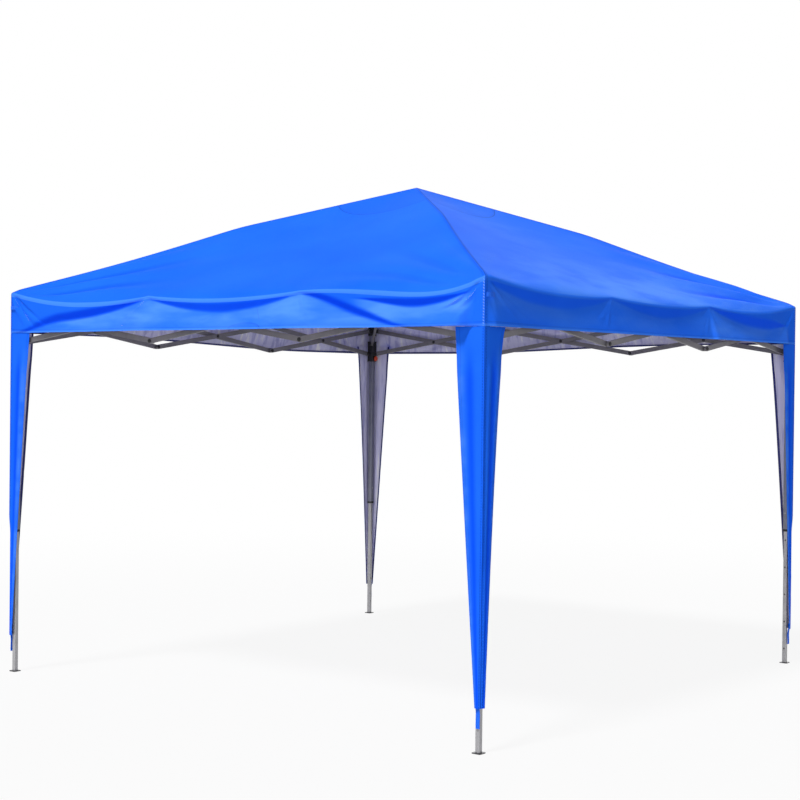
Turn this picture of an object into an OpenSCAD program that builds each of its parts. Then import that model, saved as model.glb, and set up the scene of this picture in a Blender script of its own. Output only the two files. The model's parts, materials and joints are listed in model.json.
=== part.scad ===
// Pop up canopy: a folding scissor-truss frame on four telescoping legs under a sewn cover.
// Millimetres, +Z up, origin on the floor below the peak. The corners are named front, right,
// rear and left; each side runs from one corner to the next, and each turn of 90 degrees about
// Z carries one corner and one side onto the next.

/* [Plan] */
// Distance between the axes of neighbouring legs
leg_spacing = 2950; // [2600:10:3300]
// From a leg axis to the pivots of the side trusses
pivot_offset = 36; // [34:0.5:44]

/* [Legs] */
// Outer tube, width across the flats
outer_w = 28; // [27:0.5:30]
// Outer tube, wall
outer_wall = 1.2; // [0.8:0.1:1.6]
// Outer tube, length
outer_len = 1185; // [1150:5:1300]
// Height of the outer tube's lower end above the floor
outer_bottom = 740; // [700:5:800]
// Corner radius of both tubes
tube_r = 3; // [2:0.5:4]
// Inner tube, width across the flats
inner_w = 22; // [20:0.5:23]
// Inner tube, wall
inner_wall = 1.2; // [0.8:0.1:1.6]
// Length of the inner tube that stays inside the outer tube
inner_insert = 390; // [300:10:450]
// Gap between a sliding piece and its guide
guide_clear = 0.4; // [0.2:0.05:0.6]
// Height of the bush under the outer tube
bush_h = 12; // [8:1:20]
// How far the bush stands proud of the outer tube
bush_lip = 1.5; // [1:0.25:2.5]
// Height of the guide plug on top of the inner tube
plug_h = 25; // [15:1:40]

/* [Feet] */
// Foot plate, width
foot_w = 44; // [40:0.5:46]
// Foot plate, thickness
foot_t = 4; // [3:0.5:6]
// Hole for a ground stake
stake_d = 7; // [5:0.5:8]
// From the edge of the foot plate to the middle of the stake hole
stake_inset = 6; // [5.5:0.25:7]

/* [Leg buttons] */
// Height of the button above the lower end of the outer tube
leg_button_up = 90; // [70:5:110]
// Button diameter
leg_button_d = 8; // [6:0.5:10]
// How far the button stands out of the tube
leg_button_proud = 3; // [2:0.25:4]
// Spacing of the height holes in the inner tube
height_step = 150; // [60:5:155]
// Number of height holes
height_holes = 6; // [1:1:6]

/* [Top brackets] */
// Width of the socket that holds the leg
bracket_w = 40; // [38:0.5:42]
// How far the socket reaches down the leg
bracket_skirt = 90; // [80:1:110]
// Thickness above the end of the leg
bracket_roof = 10; // [6:0.5:14]
// Diameter of the crown that carries the cover
crown_d = 38; // [32:0.5:38]
// Height of the straight part of the crown
crown_h = 23; // [16:1:30]
// Gap around a tube that is pressed into a socket
socket_clear = 0.15; // [0.05:0.05:0.3]

/* [Sliders] */
// Width of the slider body
slider_w = 44; // [42:0.5:46]
// Slider body below its truss pivots
slider_below = 50; // [46:1:56]
// Slider body above its truss pivots
slider_above = 82; // [80:1:90]
// Width of the rim at each end of the slider
rim_lip = 1.5; // [0.5:0.25:2]
// Height of the rims
rim_h = 8; // [5:1:12]
// Height of the rafter pivot above the truss pivots
rafter_pivot_up = 65; // [62:1:68]
// From the leg axis to the rafter pivot, along the diagonal
rafter_inset = 48; // [46:0.5:54]

/* [Lock buttons] */
// Cap diameter
lock_cap_d = 20; // [16:0.5:20]
// Cap thickness
lock_cap_t = 7; // [5:0.5:9]
// Stem diameter
lock_stem_d = 10; // [7:0.5:12]
// How far the lock button can be pressed
lock_travel = 3.5; // [2:0.25:4]
// Height of the lock button below the truss pivots
lock_drop = 31; // [28:0.5:34]

/* [Trusses] */
// Height of the upper pivots below the top of the outer tube
truss_top_drop = 60; // [50:1:70]
// Height between the upper and the lower pivots
truss_h = 150; // [130:1:170]
// Bar depth
bar_h = 25; // [20:0.5:26]
// Bar thickness
bar_t = 12; // [10:0.5:13]
// Bar wall
bar_wall = 0.8; // [0.6:0.1:1.2]
// Gap between the two layers of bars
layer_gap = 3; // [2:0.25:4]
// Drain hole in each bar
drain_d = 5; // [3:0.5:6]
// From a pivot to the drain hole
drain_from_end = 40; // [30:1:60]

/* [Pivots] */
// Pivot pin diameter
pin_d = 8; // [6:0.5:9]
// Radial clearance of a pin in its hole
pin_clear = 0.05; // [0.02:0.01:0.1]
// Side gap between a bar and what holds it
side_clear = 0.5; // [0.3:0.1:0.8]
// Pin head diameter
head_d = 14; // [12:0.5:16]
// Pin head thickness
head_t = 3; // [2:0.25:3]
// Thickness of a fork cheek
cheek_t = 4.5; // [3:0.25:5]
// Radius of the rounded end of a fork cheek
cheek_r = 13; // [11:0.5:13]

/* [Rafters] */
// From the centre of the canopy to the middle hinges
mid_hinge_r = 932.8; // [880:0.1:980]
// Rise of a lower rafter from its slider to the middle hinge
lower_rise = 530; // [500:1:560]
// Rise of an upper rafter from the middle hinge to the hub
upper_rise = 83.7; // [60:0.1:110]
// Radius of the knuckle at the middle hinge
knuckle_r = 22; // [16:0.5:24]

/* [Hub] */
// From the centre to the hub pivots
hub_pivot_r = 45; // [42:0.5:54]
// Hub body diameter
hub_d = 48; // [44:0.5:52]
// Hub body height
hub_h = 36; // [30:1:44]
// Radial play of the rafter holes on the hub pins
hub_play = 0.85; // [0.8:0.05:1.2]
// Mast tube diameter
mast_d = 25; // [20:0.5:32]
// Mast tube wall
mast_wall = 1.5; // [1:0.1:2]
// Mast tube length
mast_len = 140; // [100:1:180]
// Length of the spigot that holds the mast
spigot_h = 30; // [15:1:50]
// Diameter of the cap that carries the peak
cap_d = 50; // [40:1:52]
// Height of the cap's rim
cap_rim_h = 8; // [5:0.5:12]
// Flat on top of the cap
cap_flat_d = 6; // [4:0.5:10]

/* [Cover] */
// Thickness of the cover with its lining and seams
cover_t = 0.8; // [0.6:0.1:2]
// From a leg axis out to the face of the cover
cover_gap = 26; // [25.5:0.25:34]
// Gap between the cover and what it rests on
cover_clear = 0.4; // [0.3:0.05:0.8]
// Height of the valance at a corner
valance_h = 215; // [160:5:260]
// How far the eave hangs below the corners along a side
eave_sag = 45; // [20:1:60]
// How far the folds of the valance stand out at the hem
fold_depth = 12; // [0:1:20]
// Folds along one side
folds = 4; // [2:1:5]

/* [Leg covers] */
// Width of each face at the valance
leg_cover_top_w = 150; // [120:1:180]
// Width of each face at its lower end
leg_cover_end_w = 32; // [28:1:60]
// Height of its lower end above the floor
leg_cover_end_z = 190; // [120:5:400]
// How far its folds stand out
leg_cover_fold = 7; // [0:0.5:12]

/* [Hidden] */
$fn = 48;
corners = ["front", "right", "rear", "left"];
sides = [for (i = [0:3]) str(corners[i], "_", corners[(i + 1) % 4])];

steel = "#8d929b";
dark_plastic = "#1c1d20";
signal = "#e8501c";
cloth = "#2468f2";

leg_half = leg_spacing / 2;
leg_diag = leg_half * sqrt(2);
leg_top = outer_bottom + outer_len;

// Side trusses
upper_z = leg_top - truss_top_drop;
lower_z = upper_z - truss_h;
bay = 2 * (leg_half - pivot_offset) / 3;
bar_len = norm([bay, truss_h]);
bar_tilt = atan2(truss_h, bay);
layer = (bar_t + layer_gap) / 2;
pin_hole_d = pin_d + 2 * pin_clear;
washer_d = head_d + 2;

// Rafters and hub
rafter_z = lower_z + rafter_pivot_up;
mid_z = rafter_z + lower_rise;
hub_z = mid_z + upper_rise;
lower_run = leg_diag - rafter_inset - mid_hinge_r;
upper_run = mid_hinge_r - hub_pivot_r;
hub_hole_d = pin_d + 2 * hub_play;

// Peak mast
mast_z = hub_z + hub_h / 2;
cap_slope = 0.5;
cap_cone_h = cap_slope * (cap_d - cap_flat_d) / 2;
cap_z = mast_z + mast_len;
cap_top = cap_z + cap_rim_h + cap_cone_h;

// Crown of a top bracket
crown_z = leg_top + bracket_roof + crown_h;
crown_top = crown_z + crown_d / 2;

// Cover: heights of its upper face
cover_half = leg_half + cover_gap;
corner_z = crown_top + cover_clear;
knuckle_allowance = 9;
hip_z = mid_z + knuckle_r + knuckle_allowance + cover_clear;
peak_z = cap_top + cap_slope * cap_flat_d / 2 + cover_clear + cover_t;
hip_share = mid_hinge_r / (cover_half * sqrt(2));
hem_z = corner_z - valance_h;

// Placing
module at_corner(i) {
    rotate([0, 0, 90 * i]) translate([leg_half, -leg_half, 0]) children();
}

module at_side(i) {
    rotate([0, 0, 90 * i]) translate([leg_half, 0, 0]) rotate([0, 0, 90]) children();
}

// Along the diagonal, from a leg axis towards the centre
module at_diagonal(i) {
    at_corner(i) rotate([0, 0, 135]) children();
}

// Towards the next corner and towards the last one, from a leg axis
next_turn = 90;
last_turn = 180;

// Square with round corners, from plain shapes
module round_square(w, r) {
    square([w, w - 2 * r], center = true);
    square([w - 2 * r, w], center = true);
    for (x = [-1, 1], y = [-1, 1])
        translate([x, y] * (w / 2 - r)) circle(r);
}

// A pin along Y, from y0 to y1
module pin_y(d, y0, y1) {
    translate([0, y0, 0]) rotate([-90, 0, 0]) cylinder(d = d, h = y1 - y0);
}

// A rounded bar along X between two pivots, with its thickness along Y
module slot_bar(len, r, t) {
    for (x = [0, len]) translate([x, 0, 0]) pin_y(2 * r, -t / 2, t / 2);
    translate([0, -t / 2, -r]) cube([len, t, 2 * r]);
}

// Hollow tube with closed round ends and two drain holes
module tube_bar(len) {
    difference() {
        slot_bar(len, bar_h / 2, bar_t);
        slot_bar(len, bar_h / 2 - bar_wall, bar_t - 2 * bar_wall);
        for (x = [drain_from_end, len - drain_from_end])
            translate([x, 0, -bar_h]) cylinder(d = drain_d, h = bar_h);
    }
}

// Rivet from one bar through its partner at +Y, with a washer between them
module rivet() {
    partner = 2 * layer;
    far = partner + bar_t / 2 + side_clear;
    pin_y(pin_d, -bar_t / 2, far);
    pin_y(head_d, -bar_t / 2 - head_t, -bar_t / 2);
    pin_y(head_d, far, far + head_t);
    pin_y(washer_d, bar_t / 2, partner - bar_t / 2 - side_clear);
}

module pivot_hole(d) {
    pin_y(d, -bar_t, bar_t);
}

// Fork along +X whose pin is at reach, around a bar whose middle lies at y
module fork(root, reach, y) {
    inner = bar_t / 2 + side_clear;
    outer = inner + cheek_t;
    for (s = [-1, 1])
        translate([root, y + s * (inner + outer) / 2, 0]) {
            translate([reach - root, 0, 0]) pin_y(2 * cheek_r, -cheek_t / 2, cheek_t / 2);
            translate([0, -cheek_t / 2, -cheek_r]) cube([reach - root, cheek_t, 2 * cheek_r]);
        }
    translate([reach, y, 0]) {
        pin_y(pin_d, -outer, outer);
        pin_y(head_d, -outer - head_t, -outer);
        pin_y(head_d, outer, outer + head_t);
    }
}

// Legs
module outer_leg(i) {
    color(steel) at_corner(i) difference() {
        union() {
            translate([0, 0, outer_bottom]) linear_extrude(outer_len) round_square(outer_w, tube_r);
            translate([0, 0, outer_bottom - bush_h])
                linear_extrude(bush_h) round_square(outer_w + 2 * bush_lip, tube_r + bush_lip);
        }
        translate([0, 0, outer_bottom]) linear_extrude(outer_len)
            round_square(outer_w - 2 * outer_wall, tube_r - outer_wall / 2);
        translate([0, 0, outer_bottom - 2 * bush_h])
            linear_extrude(3 * bush_h) round_square(inner_w + 2 * guide_clear, tube_r);
        leg_button_place() pin_x(leg_button_d + 2 * pin_clear, 0, outer_w);
    }
}

// A pin along X, from x0 to x1
module pin_x(d, x0, x1) {
    translate([x0, 0, 0]) rotate([0, 90, 0]) cylinder(d = d, h = x1 - x0);
}

module leg_button_place() {
    translate([0, 0, outer_bottom + leg_button_up]) rotate([0, 0, last_turn]) children();
}

module inner_leg(i) {
    top = outer_bottom + inner_insert;
    plug_w = outer_w - 2 * outer_wall - 2 * guide_clear;
    stake = foot_w / 2 - stake_inset;
    color(steel) at_corner(i) difference() {
        union() {
            linear_extrude(foot_t) round_square(foot_w, tube_r + 2);
            linear_extrude(top) round_square(inner_w, tube_r);
            translate([0, 0, top - plug_h]) linear_extrude(plug_h) round_square(plug_w, tube_r - 1);
        }
        translate([0, 0, foot_t]) linear_extrude(top)
            round_square(inner_w - 2 * inner_wall, tube_r - inner_wall / 2);
        translate([stake, -stake, -foot_t]) cylinder(d = stake_d, h = 3 * foot_t);
        for (k = [0:height_holes - 1])
            translate([0, 0, -k * height_step]) leg_button_place()
                pin_x(leg_button_d + 2 * guide_clear, 0, inner_w);
    }
}

module leg_button(i) {
    tip = inner_w / 2 + guide_clear;
    end = outer_w / 2 + leg_button_proud;
    chamfer = leg_button_d / 8;
    color(steel) at_corner(i) leg_button_place() {
        pin_x(leg_button_d, tip, end - chamfer);
        translate([end - chamfer, 0, 0]) rotate([0, 90, 0])
            cylinder(d1 = leg_button_d, d2 = leg_button_d - 2 * chamfer, h = chamfer);
    }
}

// Top brackets
module top_bracket(i) {
    color(dark_plastic) at_corner(i) difference() {
        union() {
            translate([0, 0, leg_top - bracket_skirt])
                linear_extrude(bracket_skirt + bracket_roof) round_square(bracket_w, tube_r + 2);
            translate([0, 0, leg_top]) cylinder(d = crown_d, h = crown_z - leg_top);
            translate([0, 0, crown_z]) sphere(d = crown_d);
            for (turn = [next_turn, last_turn])
                translate([0, 0, upper_z]) rotate([0, 0, turn])
                    fork(outer_w / 2 + socket_clear, pivot_offset, layer);
        }
        translate([0, 0, leg_top - 2 * bracket_skirt]) linear_extrude(2 * bracket_skirt)
            round_square(outer_w + 2 * socket_clear, tube_r);
    }
}

// Sliders
module lock_place() {
    translate([0, 0, lower_z - lock_drop]) rotate([0, 0, last_turn]) children();
}

module slider(i) {
    height = slider_below + slider_above;
    color(dark_plastic) at_corner(i) difference() {
        union() {
            translate([0, 0, lower_z - slider_below]) {
                linear_extrude(height) round_square(slider_w, tube_r + 4);
                for (z = [0, height - rim_h])
                    translate([0, 0, z]) linear_extrude(rim_h)
                        round_square(slider_w + 2 * rim_lip, tube_r + 4 + rim_lip);
            }
            for (turn = [next_turn, last_turn])
                translate([0, 0, lower_z]) rotate([0, 0, turn])
                    fork(outer_w / 2 + guide_clear, pivot_offset, -layer);
            translate([0, 0, rafter_z]) rotate([0, 0, 135])
                fork(outer_w / 2 + guide_clear, rafter_inset, -layer);
        }
        translate([0, 0, lower_z - slider_below - height]) linear_extrude(3 * height)
            round_square(outer_w + 2 * guide_clear, tube_r);
        lock_place() pin_x(lock_stem_d + 2 * pin_clear, 0, slider_w);
    }
}

module lock_button(i) {
    back = slider_w / 2 + lock_travel + side_clear;
    tip = outer_w / 2 + guide_clear + lock_travel + side_clear;
    color(signal) at_corner(i) lock_place() {
        pin_x(lock_stem_d, tip, back);
        pin_x(lock_cap_d, back, back + lock_cap_t - head_t);
        translate([back + lock_cap_t - head_t, 0, 0]) rotate([0, 90, 0])
            cylinder(d1 = lock_cap_d, d2 = lock_cap_d - head_t, h = head_t);
    }
}

// Truss bars: the rising bars lie outside and carry the rivets, the falling bars lie inside
module on_bay(i, k) {
    at_side(i) translate([pivot_offset - leg_half + (k - 1) * bay, 0, 0]) children();
}

module rise_bar(i, k) {
    color(steel) on_bay(i, k) translate([0, -layer, lower_z]) rotate([0, -bar_tilt, 0]) {
        difference() {
            tube_bar(bar_len);
            if (k == 1) pivot_hole(pin_hole_d);
            if (k == 3) translate([bar_len, 0, 0]) pivot_hole(pin_hole_d);
        }
        for (x = [k == 1 ? -1 : 0, 0.5, k == 3 ? -1 : 1])
            if (x >= 0) translate([x * bar_len, 0, 0]) rivet();
    }
}

module fall_bar(i, k) {
    color(steel) on_bay(i, k) translate([0, layer, upper_z]) rotate([0, bar_tilt, 0])
        difference() {
            tube_bar(bar_len);
            for (x = [0, 0.5, 1]) translate([x * bar_len, 0, 0]) pivot_hole(pin_hole_d);
        }
}

// Rafters: a lower one from each slider to its middle hinge, an upper one from there to the hub
module lower_rafter(i) {
    len = norm([lower_run, lower_rise]);
    color(steel) at_diagonal(i) translate([rafter_inset, -layer, rafter_z])
        rotate([0, -atan2(lower_rise, lower_run), 0]) {
            difference() {
                tube_bar(len);
                pivot_hole(pin_hole_d);
            }
            translate([len, 0, 0]) {
                pin_y(2 * knuckle_r, -bar_t / 2, bar_t / 2);
                rivet();
            }
        }
}

module upper_rafter(i) {
    len = norm([upper_run, upper_rise]);
    color(steel) at_diagonal(i) translate([leg_diag - mid_hinge_r, layer, mid_z])
        rotate([0, -atan2(upper_rise, upper_run), 0]) difference() {
            tube_bar(len);
            pivot_hole(pin_hole_d);
            translate([len, 0, 0]) pivot_hole(hub_hole_d);
        }
}

module hub() {
    spigot_d = mast_d - 2 * mast_wall - 2 * socket_clear;
    color(dark_plastic) translate([0, 0, hub_z]) {
        translate([0, 0, -hub_h / 2]) cylinder(d = hub_d, h = hub_h);
        translate([0, 0, hub_h / 2]) cylinder(d = spigot_d, h = spigot_h);
        for (i = [0:3]) rotate([0, 0, 90 * i - 45]) fork(0, hub_pivot_r, -layer);
    }
}

module peak_mast() {
    color(steel) difference() {
        union() {
            translate([0, 0, mast_z]) cylinder(d = mast_d, h = mast_len);
            translate([0, 0, cap_z]) cylinder(d = cap_d, h = cap_rim_h);
            translate([0, 0, cap_z + cap_rim_h]) cylinder(d1 = cap_d, d2 = cap_flat_d, h = cap_cone_h);
        }
        translate([0, 0, mast_z - mast_len]) cylinder(d = mast_d - 2 * mast_wall, h = 2 * mast_len);
    }
}

// Cover: rings from the peak to the eave and on down to the hem
steps = 15;
roof_rings = [0.02, 0.16, 0.3, hip_share, 0.62, 0.8, 1];
valance_rings = [0.3, 0.65, 1];

function mix(a, b, t) = a + (b - a) * t;
function sagged(t) = eave_sag * pow(sin(180 * t), 0.7);
function hip_height(s) = s < hip_share
    ? mix(peak_z, hip_z, s / hip_share)
    : mix(hip_z, corner_z, (s - hip_share) / (1 - hip_share));
function panel_height(s) = mix(peak_z, corner_z, s);
function roof_z(s, t) =
    mix(hip_height(s), panel_height(s), pow(sin(180 * t), 0.7)) - s * s * sagged(t);
function fold_out(t) = fold_depth * sin(180 * t) * (1 - cos(360 * folds * t)) / 2;

// Side n, share t along it, at distance d from the middle and height z
function turned(p, n) = [
    p.x * cos(90 * n) - p.y * sin(90 * n),
    p.x * sin(90 * n) + p.y * cos(90 * n),
    p.z
];
function on_side(n, t, s, out, z) =
    turned([s * (cover_half - out.y) + out.x, s * (cover_half - out.y) * (2 * t - 1), z], n);

// One ring of the roof or valance; inset is 0 on the outer face and the thickness on the inner
function roof_ring(s, inset) = [
    for (n = [0:3], j = [0:steps - 1]) let (t = j / steps)
        on_side(n, t, s, [0, inset], roof_z(s, t) - inset)
];
function valance_ring(v, inset) = [
    for (n = [0:3], j = [0:steps - 1]) let (t = j / steps)
        on_side(n, t, 1, [fold_out(t) * v, inset], mix(roof_z(1, t) - inset, hem_z, v))
];
function cover_face(inset) = concat(
    [[0, 0, peak_z - inset]],
    [for (s = roof_rings) each roof_ring(s, inset)],
    [for (v = valance_rings) each valance_ring(v, inset)]
);

module canopy_cover() {
    around = 4 * steps;
    rings = len(roof_rings) + len(valance_rings);
    inner = 1 + rings * around;
    function at(r, j) = 1 + r * around + j % around;
    faces = [
        for (j = [0:around - 1]) each [
            [0, at(0, j + 1), at(0, j)],
            [inner, inner + at(0, j), inner + at(0, j + 1)],
            for (r = [0:rings - 2]) each [
                [at(r, j), at(r, j + 1), at(r + 1, j + 1)],
                [at(r, j), at(r + 1, j + 1), at(r + 1, j)],
                [inner + at(r, j), inner + at(r + 1, j + 1), inner + at(r, j + 1)],
                [inner + at(r, j), inner + at(r + 1, j), inner + at(r + 1, j + 1)]
            ],
            [at(rings - 1, j), at(rings - 1, j + 1), inner + at(rings - 1, j + 1)],
            [at(rings - 1, j), inner + at(rings - 1, j + 1), inner + at(rings - 1, j)]
        ]
    ];
    color(cloth) polyhedron(concat(cover_face(0), cover_face(cover_t)), faces);
}

// Leg covers: two faces that meet at the corner, folded lightly and drawn in towards the foot
face_steps = 5;
drop_steps = 8;

function leg_cover_w(v) = mix(leg_cover_top_w, leg_cover_end_w, v);
function leg_fold(u, v) =
    leg_cover_fold * (1 - cos(360 * u + 150 * v)) / 2 * sin(180 * min(1, u * 1.6)) * (1 - 0.6 * v);
function leg_cover_row(v, inset) = [
    for (j = [-face_steps:face_steps]) let (
        u = abs(j) / face_steps,
        along = cover_gap - inset - u * (leg_cover_w(v) - inset),
        out = cover_gap - inset + leg_fold(u, v),
        z = mix(hem_z - cover_clear, leg_cover_end_z, v)
    ) j < 0 ? [along, -out, z] : (j > 0 ? [out, -along, z] : [cover_gap - inset, inset - cover_gap, z])
];
function leg_cover_face(inset) = [for (r = [0:drop_steps]) each leg_cover_row(r / drop_steps, inset)];

module leg_covers() {
    across = 2 * face_steps + 1;
    inner = across * (drop_steps + 1);
    last = across - 1;
    function at(r, j) = r * across + j;
    faces = [
        for (r = [0:drop_steps - 1]) each [
            for (j = [0:last - 1]) each [
                [at(r, j), at(r, j + 1), at(r + 1, j + 1)],
                [at(r, j), at(r + 1, j + 1), at(r + 1, j)],
                [inner + at(r, j), inner + at(r + 1, j + 1), inner + at(r, j + 1)],
                [inner + at(r, j), inner + at(r + 1, j), inner + at(r + 1, j + 1)]
            ],
            [at(r, 0), at(r + 1, 0), inner + at(r + 1, 0)],
            [at(r, 0), inner + at(r + 1, 0), inner + at(r, 0)],
            [at(r, last), inner + at(r + 1, last), at(r + 1, last)],
            [at(r, last), inner + at(r, last), inner + at(r + 1, last)]
        ],
        for (j = [0:last - 1]) each [
            [at(0, j), inner + at(0, j + 1), at(0, j + 1)],
            [at(0, j), inner + at(0, j), inner + at(0, j + 1)],
            [at(drop_steps, j), at(drop_steps, j + 1), inner + at(drop_steps, j + 1)],
            [at(drop_steps, j), inner + at(drop_steps, j + 1), inner + at(drop_steps, j)]
        ]
    ];
    color(cloth) for (i = [0:3])
        at_corner(i) polyhedron(concat(leg_cover_face(0), leg_cover_face(cover_t)), faces);
}

for (i = [0:3]) {
    outer_leg(i);
    inner_leg(i);
    leg_button(i);
    top_bracket(i);
    slider(i);
    lock_button(i);
    for (k = [1:3]) {
        rise_bar(i, k);
        fall_bar(i, k);
    }
    lower_rafter(i);
    upper_rafter(i);
}
hub();
peak_mast();
canopy_cover();
leg_covers();
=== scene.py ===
"""Looks of the pop up canopy: sewn cover, leg covers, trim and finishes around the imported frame."""

import json
import math

import bpy
import numpy as np
from mathutils import Matrix, Vector


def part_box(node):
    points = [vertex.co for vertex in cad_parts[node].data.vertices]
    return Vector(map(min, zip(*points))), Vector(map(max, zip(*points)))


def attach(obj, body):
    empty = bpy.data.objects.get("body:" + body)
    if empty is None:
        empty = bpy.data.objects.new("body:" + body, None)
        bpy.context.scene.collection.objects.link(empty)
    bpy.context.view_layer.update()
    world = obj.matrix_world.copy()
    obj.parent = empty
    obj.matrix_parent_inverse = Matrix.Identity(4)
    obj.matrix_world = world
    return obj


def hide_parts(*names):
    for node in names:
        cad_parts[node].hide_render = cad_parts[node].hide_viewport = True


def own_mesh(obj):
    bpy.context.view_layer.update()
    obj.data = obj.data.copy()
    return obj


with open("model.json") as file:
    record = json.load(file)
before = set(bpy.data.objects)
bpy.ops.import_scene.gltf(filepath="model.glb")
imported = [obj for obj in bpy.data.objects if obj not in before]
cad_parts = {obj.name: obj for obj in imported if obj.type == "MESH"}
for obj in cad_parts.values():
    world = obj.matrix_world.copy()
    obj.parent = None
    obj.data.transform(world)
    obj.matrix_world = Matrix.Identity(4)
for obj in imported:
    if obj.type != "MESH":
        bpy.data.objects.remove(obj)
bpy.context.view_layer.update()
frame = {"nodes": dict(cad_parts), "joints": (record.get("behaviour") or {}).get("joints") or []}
NODES = frame["nodes"]
JOINTS = {j["name"]: j for j in frame["joints"]}

# Names: each side runs from one corner to the next, a quarter turn apart
CORNERS = ("front", "right", "rear", "left")
SIDES = tuple(f"{CORNERS[i]}_{CORNERS[(i + 1) % 4]}" for i in range(4))

# Places taken from the frame, in metres
leg_low, leg_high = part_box("outer_leg_front")
cover_low, cover_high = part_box("canopy_cover")
cloth_low, cloth_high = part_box("leg_covers")
BRACKET_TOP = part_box("top_bracket_front")[1].z
RAFTER_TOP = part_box("lower_rafter_front")[1].z
LEG = (leg_low.x + leg_high.x) / 2
HINGE_R = Vector(JOINTS["middle_hinge_front"]["pos_m"]).xy.length
PEAK_Z = cover_high.z
HEM_Z = cover_low.z
LEG_COVER_TOP = cloth_high.z
LEG_COVER_END = cloth_low.z
TRUSS_RISE = JOINTS["front_right_top_1"]["pos_m"][2] - JOINTS["front_right_cross_1"]["pos_m"][2]

# Cover, in metres
COVER_GAP = 0.026
COVER_T = 0.0008
BRACKET_CLEAR = 0.0004
RAFTER_CLEAR = 0.0094
CORNER_Z = BRACKET_TOP + BRACKET_CLEAR
HIP_Z = RAFTER_TOP + RAFTER_CLEAR
VALANCE_H = CORNER_Z - HEM_Z
HALF = LEG + COVER_GAP
SIDE_LENGTH = 2 * HALF
HIP_SHARE = HINGE_R / (HALF * math.sqrt(2))
HIP_SAG = 0.012
HIP_KINK = 0.035
PANEL_SAG = 0.016
CORNER_ROUND = 0.030
CORNER_DROP = 0.006
# Supports of the eave along a side, as shares, and how far the truss joints lie below the corners
BUMPS = (0.0, 0.340, 0.660, 1.0)
BUMP_DROP = 0.045
HEM_FLARE = 0.012
ROOF_EASE = 2.2
# Painted sheen on each side's roof, standing in for the sky's reflection, at its peak and at its eave
EAVE_PAINTED_SHEEN = ((0.25, 0.85), (0.0, 0.15), (0.0, 0.15), (0.0, 0.0))
# Folds that fan out from the corners of each side: depth at each end, the depth at which the painted shade in their
# troughs is full, waves in a turn with their start in degrees, and where they are strongest with its spread
FAN_FOLD = ((0.002, 0.018), (0.003, 0.006), (0.004, 0.007), (0.012, 0.005))
FAN_FULL_SHADE = 0.024
FAN_WAVES = 21
FAN_START = 40
FAN_REACH = (0.45, 0.55)
# Folds of the valance, each a groove drawn through places in its bay: share of the way from the corner to the
# truss joint, height share below the eave, and half width as a height share
LONG_FOLD = (
    (0.10, 1.0, 0.03), (0.185, 0.83, 0.07), (0.34, 0.53, 0.14), (0.60, 0.30, 0.17), (0.84, 0.13, 0.09),
    (1.0, 0.03, 0.02),
)
STEEP_FOLD = ((0.40, 1.0, 0.03), (0.555, 0.72, 0.10), (0.70, 0.47, 0.14), (0.83, 0.22, 0.11), (1.0, 0.02, 0.02))
EAVE_FOLD = ((0.10, 0.18, 0.0), (0.20, 0.20, 0.09), (0.37, 0.27, 0.15), (0.52, 0.23, 0.08), (0.65, 0.2, 0.0))
RIDGE_FOLD = ((0.05, 0.90, 0.05), (0.40, 0.50, 0.14), (0.70, 0.25, 0.12), (1.0, 0.03, 0.02))
LENS_FOLD = ((0.0, 0.05, 0.02), (0.25, 0.20, 0.11), (0.5, 0.27, 0.17), (0.75, 0.20, 0.11), (1.0, 0.05, 0.02))
SWAG_FOLD = ((0.0, 0.10, 0.02), (0.3, 0.22, 0.14), (0.6, 0.26, 0.17), (0.85, 0.14, 0.10), (1.0, 0.03, 0.02))
SHORT_FOLD = ((0.12, 0.5, 0.0), (0.35, 0.42, 0.17), (0.6, 0.30, 0.18), (0.85, 0.14, 0.10), (1.0, 0.03, 0.02))
# Bays of each side: eave sag, skew of the sag, slope into each groove, slope out of it, and its folds
BAYS = (
    ((0.031, 1.0, 0.24, 0.12, (SWAG_FOLD,)), (0.019, 1.0, 0.22, 0.12, (LENS_FOLD,)),
     (0.033, 1.0, 0.42, 0.24, (SHORT_FOLD,))),
    ((0.044, 0.9, 0.45, 0.24, (LONG_FOLD,)), (0.024, 1.0, 0.35, 0.24, (LENS_FOLD,)),
     (0.048, 1.6, 0.45, 0.24, (STEEP_FOLD, EAVE_FOLD))),
    ((0.040, 1.0, 0.42, 0.20, (RIDGE_FOLD,)), (0.020, 1.0, 0.32, 0.20, (LENS_FOLD,)),
     (0.050, 1.2, 0.45, 0.22, (LONG_FOLD,))),
    ((0.055, 1.0, 0.60, 0.42, (LONG_FOLD,)), (0.030, 1.0, 0.45, 0.42, (LENS_FOLD,)),
     (0.062, 2.1, 0.60, 0.42, (STEEP_FOLD, EAVE_FOLD))),
)
# How strongly each side is creased
CREASE_SHARE = (0.4, 1.0, 1.0, 1.0)
STEEPEST_IN = max(bay[2] for side in BAYS for bay in side)
STEEPEST_OUT = max(bay[3] for side in BAYS for bay in side)

# Folding: where the roof parts from the valance
EDGE_SHARE = 0.955
# The hem hangs lower round the rear corner, and stands out a little there
REAR_DROP = 0.046
REAR_STAND = 0.003

scene = bpy.context.scene
scene.view_settings.view_transform = "Standard"


def turned(points, n):
    """Points turned about Z by n quarter turns."""
    c, s = (1, 0, -1, 0)[n % 4], (0, 1, 0, -1)[n % 4]
    x, y, z = np.moveaxis(np.array(points, float), -1, 0)
    return np.stack([c * x - s * y, s * x + c * y, z], axis=-1)


def mix(a, b, t):
    return a + (b - a) * t


def smooth(x, low, high):
    """0 below low, 1 above high, an S curve between."""
    t = np.clip((x - low) / (high - low), 0, 1)
    return t * t * (3 - 2 * t)


def bell(x, width):
    """1 at zero, falling away on both sides."""
    return np.exp(-((x / width) ** 2))


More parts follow.
